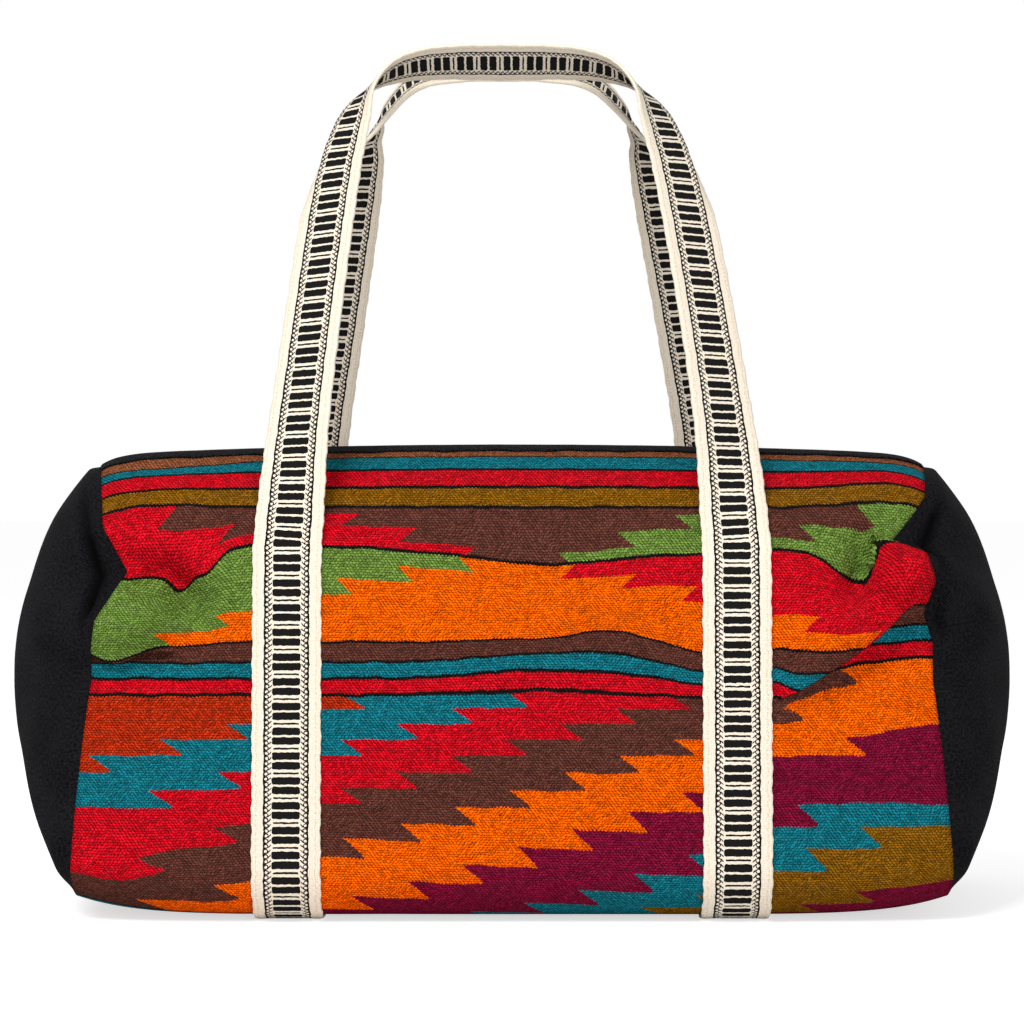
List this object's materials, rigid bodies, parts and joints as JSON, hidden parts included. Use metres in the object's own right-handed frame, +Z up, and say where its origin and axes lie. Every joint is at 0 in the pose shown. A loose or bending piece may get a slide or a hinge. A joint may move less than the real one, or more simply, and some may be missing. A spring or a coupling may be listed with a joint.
{
  "type": "woven duffel bag",
  "caption": "Soft barrel duffel bag with a striped, serrated woven wool body, black canvas ends, a top zip and patterned webbing straps that rise as long carrying handles.",
  "frame": {"origin": "middle of the base, on the surface that the bag stands on", "axes": "+X along the bag towards the closed zip slider, +Y to the back, +Z up"},
  "size_m": [0.578, 0.241, 0.4946],
  "materials": {
    "woven_cloth": "weft-faced wool weave in stripes and serrated bands of red, orange, teal, olive, brown, green and purple",
    "black_canvas": "matt black cotton twill",
    "webbing": "cream cotton webbing with a woven black ladder down its middle",
    "zip_tape": "black polyester tape",
    "zip_coil": "black nylon coil",
    "zip_metal": "dull nickel plate"
  },
  "bodies": {
    "bag": {"woven_wrap": "woven_cloth", "left_end_panel": "black_canvas", "right_end_panel": "black_canvas", "front_strap": "webbing", "front_top_strip": "black_canvas", "front_zip_tape": "zip_tape", "front_zip_coil": "zip_coil", "back_strap": "webbing", "back_top_strip": "black_canvas", "back_zip_tape": "zip_tape", "back_zip_coil": "zip_coil", "left_zip_stop": "zip_metal", "right_zip_stop": "zip_metal"},
    "slider": {"zip_slider": "zip_metal"},
    "pull": {"zip_pull": "zip_metal"}
  },
  "joints": [
    {"name": "slider_travel", "type": "slide", "parent": "bag", "child": "slider", "axis": [1, 0, 0], "range_m": [-0.434, 0]},
    {"name": "pull_flip", "type": "hinge", "parent": "slider", "child": "pull", "pos_m": [0.21715, 0, 0.25421], "axis": [0, 1, 0], "range_deg": [0, 175]}
  ]
}
